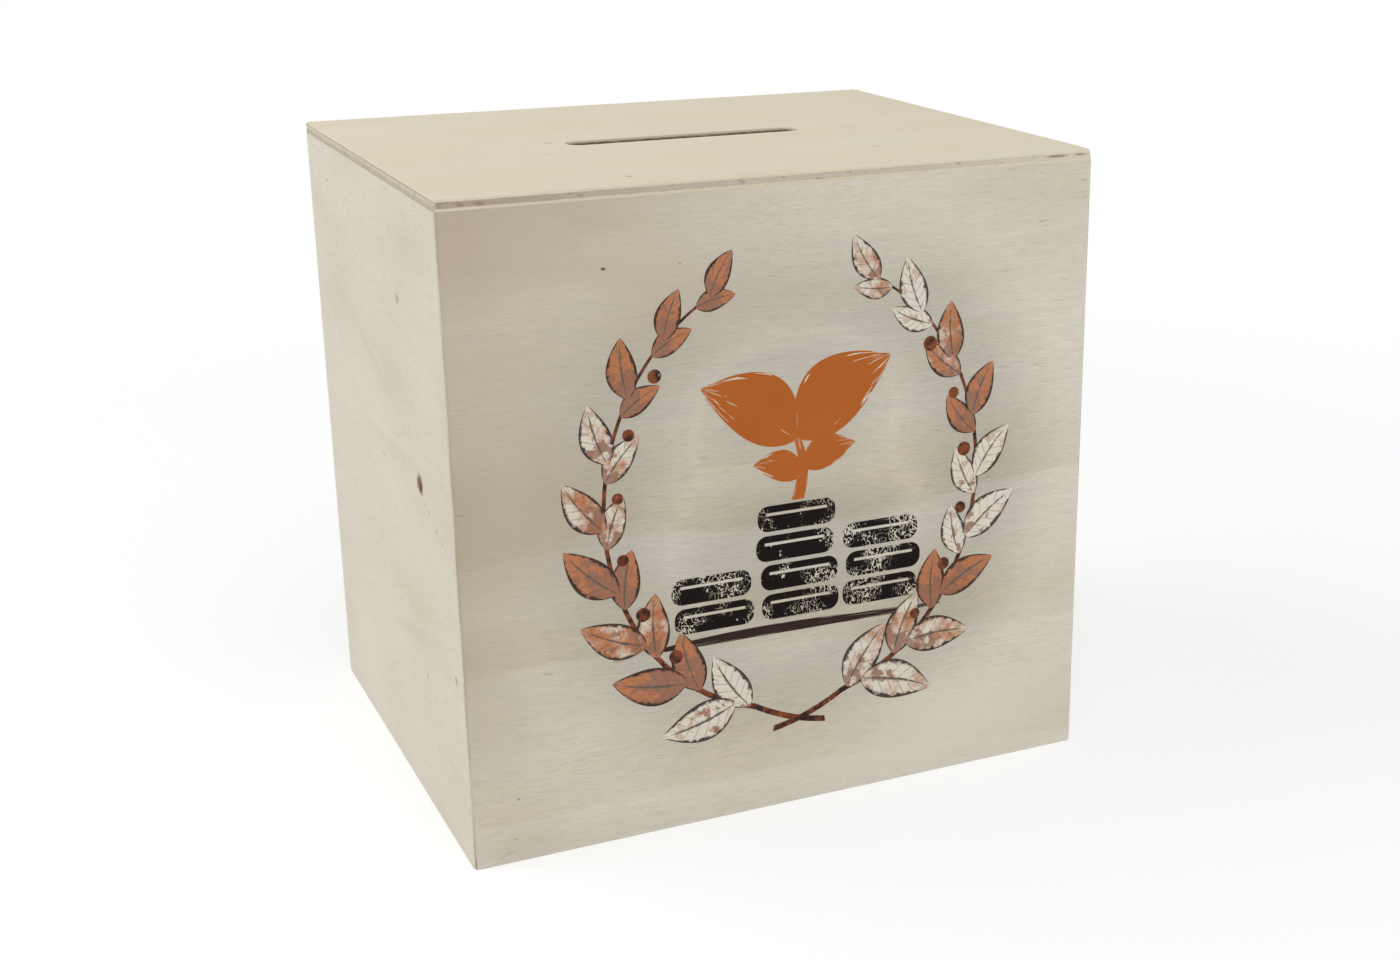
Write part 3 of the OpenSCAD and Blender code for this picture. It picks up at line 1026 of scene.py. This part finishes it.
def wreath_leaves(tree, pairs, length, width, ink):
    """Pairs of leaves up both branches, with the outer leaf of a pair printed over the inner one."""
    index = tree.index()
    side = by_turns(index)
    outer = by_turns((index / 2.0).floor())
    share = ((index / 4.0).floor() + 0.5 + outer * 0.14) / pairs
    spot, heading = wreath_spot(tree, share, side)
    tilt = (0.62 - share * 0.16 + tree.chance(-0.10, 0.10, 3)) * side * outer
    grown = (1.12 - share * 0.46) * tree.chance(0.92, 1.10, 5) * (0.93 + outer * 0.07)
    layer = (1.0 + outer) / 2.0
    leaves = []
    for chosen, ink_height in ((1.0 - layer, INNER_INK), (layer, OUTER_INK)):
        shape = film(tree, leaf(tree, length, width, width * 0.10), ink_height)
        placed = tree.scattered(pairs * 4.0, spot, shape, Selection=chosen,
                                Rotation=facing_front(tree, heading - tilt),
                                Scale=tree.join(grown, 1.0, grown))
        leaves.append(tree.noted(placed, "wash", tree.chance(0.0, 1.0, 8), domain="INSTANCE"))
    return tree.coated(tree.together(leaves), ink)


def wreath_stems(tree, ink):
    """Two stems that thin out towards their tips and cross at the foot."""
    stems = []
    for side, ink_height in ((-1.0, STEM_INK), (1.0, STEM_INK * 0.93)):
        flat, along_it, across_it = strip(tree, 90, 2)
        middle, way = wreath_spot(tree, along_it * 1.10 - 0.12, side)
        half = across_it * (0.62 - along_it * 0.40) * MM
        offset = tree.join(way.sine() * half * -1.0, 0.0, way.cosine() * half)
        stems.append(film(tree, tree.moved(flat, tree.vector("ADD", middle, offset)), ink_height))
    return tree.coated(tree.together(stems), ink)


def wreath_berries(tree, pairs, berry_r, ink):
    """Berries along the inside of both branches."""
    count, inset = 12, 2.5 * MM
    bead = tree.add("GeometryNodeMeshCircle", {"fill_type": "NGON"}, {"Vertices": 20, "Radius": berry_r})
    index = tree.index()
    side = by_turns(index)
    middle, way = wreath_spot(tree, ((index / 2.0).floor() + 2.12) / pairs, side)
    inward = tree.join(way.sine() * side * -inset, 0.0, way.cosine() * side * inset)
    size = tree.chance(0.8, 1.15, 12)
    shape = film(tree, tree.shifted(bead, Rotation=STOOD_UP), TOP_INK)
    berries = tree.scattered(count, tree.vector("ADD", middle, inward), shape,
                             Scale=tree.join(size, 1.0, size))
    return tree.coated(berries, ink)


def wreath_pattern(leaf_ink, stem_ink, berry_ink):
    """Two leafy branches that rise from one knot at the foot."""
    tree = Pattern("leaf_wreath")
    pairs = tree.size("Pairs", "NodeSocketInt")
    length, width, berry_r = [tree.size(name) for name in ("Leaf length", "Leaf width", "Berry radius")]
    leaves = wreath_leaves(tree, pairs, length, width, leaf_ink)
    stems = wreath_stems(tree, stem_ink)
    berries = wreath_berries(tree, pairs, berry_r, berry_ink)
    return tree.end(tree.together([leaves, stems, berries]))


def coin_pattern(coin_ink):
    """Piles of coins seen from the side, each coin a bar with round ends, a little out of line."""
    tree = Pattern("coin_piles")
    width, height, step = [tree.size(name) for name in ("Coin width", "Coin height", "Step")]
    bar = tree.add("GeometryNodeCurvePrimitiveQuadrilateral", {"mode": "RECTANGLE"}, {0: width, 1: height})
    soft = tree.add("GeometryNodeFilletCurve", {"mode": "POLY"},
                    {"Curve": bar, "Count": 6, "Radius": height * 0.42})
    face = tree.add("GeometryNodeFillCurve", {"mode": "TRIANGLES"}, {0: soft})
    x, y, z = tree.spot()
    noted = tree.noted(face, "inked", tree.join(x / (width / 2.0), y / (height / 2.0), z), "FLOAT_VECTOR")
    coin = film(tree, tree.shifted(noted, Rotation=STOOD_UP), TOP_INK)
    piles = []
    for seed, (count, middle) in enumerate(((2, -PILE_GAP), (4, 0.0), (3, PILE_GAP))):
        shift = tree.chance(-0.75 * MM, 0.75 * MM, seed + 20)
        where = tree.join(shift + PRINT_X + middle, 0.0, tree.index() * step + PILE_Z + height / 2.0)
        piles.append(tree.scattered(count, where, coin))
    return tree.end(tree.coated(tree.together(piles), coin_ink))


def shoot_pattern(leaf_ink):
    """Shoot with two big leaves and two small ones, and the brushed line that the piles stand on."""
    tree = Pattern("shoot")
    height, leaf_l, leaf_w = [tree.size(name) for name in ("Height", "Leaf length", "Leaf width")]
    foot_z = PILE_Z + 4 * COIN_STEP - 0.3 * MM
    bow = 1.1 * MM
    flat, along_it, across_it = strip(tree, 30, 2)
    sway = (along_it * math.pi).sine() * bow
    half = across_it * (1.25 - along_it * 0.5) * MM
    stem_place = tree.join(sway - half + PRINT_X, 0.0, along_it * height + foot_z)
    stem = film(tree, tree.moved(flat, stem_place), STEM_INK)
    parts = [tree.noted(stem, "wash", 0.0)]
    for share, heading, size, ink_height in ((0.98, 0.62, 1.0, INNER_INK), (0.98, 2.60, 0.94, OUTER_INK),
                                             (0.52, 0.30, 0.48, OUTER_INK), (0.40, 2.86, 0.44, TOP_INK)):
        bend = leaf_w * (0.16 if heading < 1.5 else -0.16)
        shape = film(tree, leaf(tree, leaf_l * size, leaf_w * size, bend * size), ink_height)
        place = tree.join(PRINT_X + math.sin(share * math.pi) * bow, 0.0, height * share + foot_z)
        laid = tree.shifted(shape, Translation=place, Rotation=facing_front(tree, heading))
        parts.append(tree.noted(laid, "wash", heading))
    line_l, line_left, line_under = 58 * MM, 28 * MM, 2.3 * MM
    stroke, along_it, across_it = strip(tree, 80, 3)
    thick = ((along_it * math.pi).sine().most(0.0) ** 0.4) * (1.15 - along_it * 0.45) * MM
    rise = (along_it * 5.0).sine() * 0.35 * MM
    line_place = tree.join(along_it * line_l - line_left + PRINT_X, 0.0,
                           across_it * thick + rise + PILE_Z - line_under)
    parts.append(tree.noted(film(tree, tree.moved(stroke, line_place), STEM_INK), "wash", -1.0))
    return tree.end(tree.coated(tree.together(parts), leaf_ink))


class Ink(Finish):
    """Ink on the front veneer: the wood's own colour and fibres show wherever the ink is thin."""

    def __init__(self, name):
        super().__init__(name)
        self.wood, self.relief = veneer(self, FRONT)
        self.inked = self.add("ShaderNodeAttribute", {"attribute_name": "inked"}, {}, "Vector")
        self.wash = self.add("ShaderNodeAttribute", {"attribute_name": "wash"}, {}, "Fac")
        self.along = self.part(self.inked, 0)
        self.across = self.part(self.inked, 1)

    def printed(self, colour, cover, sheen=0.2):
        """Ends the finish: cover is how much of the wood the ink hides."""
        grainy = self.shade(colour, 0.94 + self.relief * 0.16)
        shown = self.blend(cover, self.wood, grainy)
        rough = 0.62 + self.relief * 0.12 - cover * 0.06
        return self.surface(shown, rough, self.relief, FIBRE_DEEP, specular=sheen)


def leaf_wash():
    """Watercolour leaf with an inked rim and rib, warm on some leaves and pale on others."""
    ink = Ink("leaf_wash_ink")
    drift = ink.noise(5.0, 12.0, 3.0, 0.6)
    blot = ink.noise(2.4, 31.0, 3.0, 0.55)
    fray = ink.noise(0.9, 47.0, 2.0)
    rim = (abs(ink.across) + (fray - 0.5) * 0.5).ease(0.74, 0.90)
    rib = (abs(ink.across) + (fray - 0.5) * 0.16).ease(0.10, 0.02) * ink.along.ease(0.96, 0.80)
    vein_place = (ink.along * 7.0 - abs(ink.across) * 1.3) % 1.0
    vein = (abs(vein_place - 0.5) + (fray - 0.5) * 0.12).ease(0.07, 0.02) * 0.55
    warm = (ink.wash + (drift - 0.5) * 1.1).ease(0.30, 0.62)
    deep = (blot + (ink.wash - 0.5) * 0.25 + (0.35 - ink.along) * 0.35).ease(0.50, 0.58)
    colour = ink.blend(warm, INK_CREAM, INK_ORANGE)
    colour = ink.blend(blot.ease(0.56, 0.60) * 0.55, colour, INK_TAN)
    colour = ink.blend(deep * 0.80, colour, INK_BROWN)
    colour = ink.blend((rim.most(rib)).most(vein) * 0.96, colour, INK_DARK)
    return ink.printed(colour, 0.86 + rim * 0.12)


def dry_brush():
    """Burnt orange laid on with a dry brush, which skips along the leaf near its rim and tip."""
    ink = Ink("dry_brush_ink")
    hair = ink.noise(1.0, 5.0, 2.0, 0.6,
                     ink.join(ink.along * 3.2 + ink.wash * 7.0, ink.across * 9.0, ink.wash))
    far = ink.along.ease(0.45, 1.0) * 0.16 + abs(ink.across).ease(0.45, 1.0) * 0.10
    skipped = (hair + far).ease(0.735, 0.765)
    line = ink.wash.ease(-0.2, -0.6)
    tone = ink.noise(9.0, 15.0, 2.0)
    colour = ink.blend(tone.ease(0.35, 0.75) * 0.35, INK_ORANGE, rgba(0.390, 0.095, 0.012))
    colour = ink.blend(line, colour, INK_DARK)
    return ink.printed(colour, 1.0 - skipped)


def worn_black():
    """Black block print, worn through to the wood in small flecks, with a bare rim line on each coin."""
    ink = Ink("worn_black_ink")
    warp = ink.noise(2.2, 9.0, 2.0)
    worm = ink.noise((0.85, 0.85, 1.15), 77.0, 2.0, 0.55)
    crowd = ink.noise(6.0, 83.0, 1.0)
    fleck = (abs(worm - 0.5) + (0.5 - crowd) * 0.20 + (warp - 0.5) * 0.05).ease(0.016, 0.004)
    pit = (worm + crowd * 0.25).ease(0.80, 0.84)
    rim_line = abs(ink.across - 0.34).ease(0.13, 0.09) * abs(ink.along).ease(0.80, 0.76)
    worn = fleck.most(pit).most(rim_line * warp.ease(0.25, 0.33))
    black = ink.blend(crowd.ease(0.4, 0.8), rgba(0.0075, 0.0045, 0.0040), rgba(0.014, 0.008, 0.006))
    return ink.printed(black, 1.0 - worn * 0.92, 0.08)


def plain_ink(name, colour, other):
    ink = Ink(name)
    tone = ink.noise(1.6, 22.0, 2.0)
    skip = ink.noise(0.7, 29.0, 2.0)
    mixed = ink.blend(tone.ease(0.35, 0.70), colour, other)
    return ink.printed(mixed, 1.0 - skip.ease(0.68, 0.76) * 0.75)


def build_print():
    stem_ink = plain_ink("stem_ink", INK_DARK, INK_BROWN)
    berry_ink = plain_ink("berry_ink", INK_BROWN, INK_DARK)
    wreath = wreath_pattern(leaf_wash(), stem_ink, berry_ink).make("wreath_print", {
        "Pairs": 9, "Leaf length": 13.6 * MM, "Leaf width": 6.6 * MM, "Berry radius": 1.25 * MM})
    coins = coin_pattern(worn_black()).make("coin_print", {
        "Coin width": COIN_W, "Coin height": COIN_H, "Step": COIN_STEP})
    shoot = shoot_pattern(dry_brush()).make("shoot_print", {
        "Height": 12 * MM, "Leaf length": 23 * MM, "Leaf width": 12.5 * MM})
    for motif in (wreath, coins, shoot):
        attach(motif, "case")


# ---------------------------------------------------------------- stage, light and camera

def build_stage():
    """Pale floor that fades to white away from the box."""
    half = 3.0
    mesh = bpy.data.meshes.new("floor")
    corners = [(-half, -half, 0), (half, -half, 0), (half, half, 0), (-half, half, 0)]
    mesh.from_pydata(corners, [], [(0, 1, 2, 3)])
    finish = Finish("pale_floor")
    seen = is_seen(finish)
    pale = finish.blend(seen, rgba(0.90, 0.90, 0.89), rgba(0.45, 0.45, 0.45))
    lit = finish.add("ShaderNodeBsdfDiffuse", {}, {"Color": pale})
    glow = finish.add("ShaderNodeEmission", {}, {"Color": rgba(1, 1, 1), "Strength": seen * 0.58})
    near = finish.add("ShaderNodeAddShader", {}, {0: lit, 1: glow})
    white = finish.add("ShaderNodeEmission", {}, {"Color": rgba(1, 1, 1), "Strength": 1.0})
    far = finish.length(finish.place).ease(150.0, 420.0) * seen
    shader = finish.add("ShaderNodeMixShader", {}, {0: far, 1: near, 2: white})
    mesh.materials.append(finish.ended(shader))
    in_scene("floor", mesh)


def is_seen(sheet):
    """1 where the camera sees the surroundings, also in a reflection or through glass."""
    rays = [sheet.add("ShaderNodeLightPath", {}, {}, name)
            for name in ("Is Camera Ray", "Is Glossy Ray", "Is Transmission Ray")]
    return rays[0].most(rays[1]).most(rays[2])


def build_surroundings(level):
    world = bpy.data.worlds.new("studio")
    world.use_nodes = True
    bpy.context.scene.world = world
    sheet = Sheet(world.node_tree)
    world.node_tree.nodes.clear()
    colour = sheet.add("ShaderNodeMix", {"data_type": "RGBA"},
                       {0: is_seen(sheet), 6: rgba(level, level, level), 7: rgba(1, 1, 1)}, 2)
    glow = sheet.add("ShaderNodeBackground", {}, {"Color": colour, "Strength": 1.0})
    sheet.add("ShaderNodeOutputWorld", {}, {"Surface": glow})


def softbox(name, power, size, azimuth, elevation, distance):
    """Square area light that looks at the middle of the box. Azimuth 0 is in front of it."""
    a, e = math.radians(azimuth), math.radians(elevation)
    target = Vector((0, 0, lid_high.z / 2))
    back = Vector((math.sin(a) * math.cos(e), -math.cos(a) * math.cos(e), math.sin(e)))
    light = bpy.data.lights.new(name, "AREA")
    light.energy = power
    light.size = size
    lamp = in_scene(name, light)
    lamp.location = target + back * distance
    lamp.rotation_euler = back.to_track_quat("Z", "Y").to_euler()


def build_camera():
    """Camera at the left front, a little above the lid."""
    place_mm = Vector((-139.7, -361.1, 175.7))
    azimuth, elevation = 25.70, -18.08
    data = bpy.data.cameras.new("camera")
    data.sensor_width = 36.0
    data.lens = 51.03
    data.shift_x = -0.1
    data.clip_start = 0.01
    camera = in_scene("camera", data)
    camera.location = place_mm * MM
    camera.rotation_euler = (math.radians(90 + elevation), 0, math.radians(-azimuth))
    bpy.context.scene.camera = camera


# ---------------------------------------------------------------- everything together

build_camera()
build_walls()
build_lid()
build_base()
dress_posts()
build_screws()
build_print()
build_stage()
build_surroundings(level=0.33)
softbox("key_light", power=4.4, size=0.7, azimuth=-112, elevation=42, distance=1.0)
softbox("top_light", power=17.9, size=1.6, azimuth=-5, elevation=58, distance=2.0)
softbox("fill_light", power=1.3, size=0.4, azimuth=58, elevation=-4, distance=0.6)

bpy.context.scene.view_settings.view_transform = "Standard"
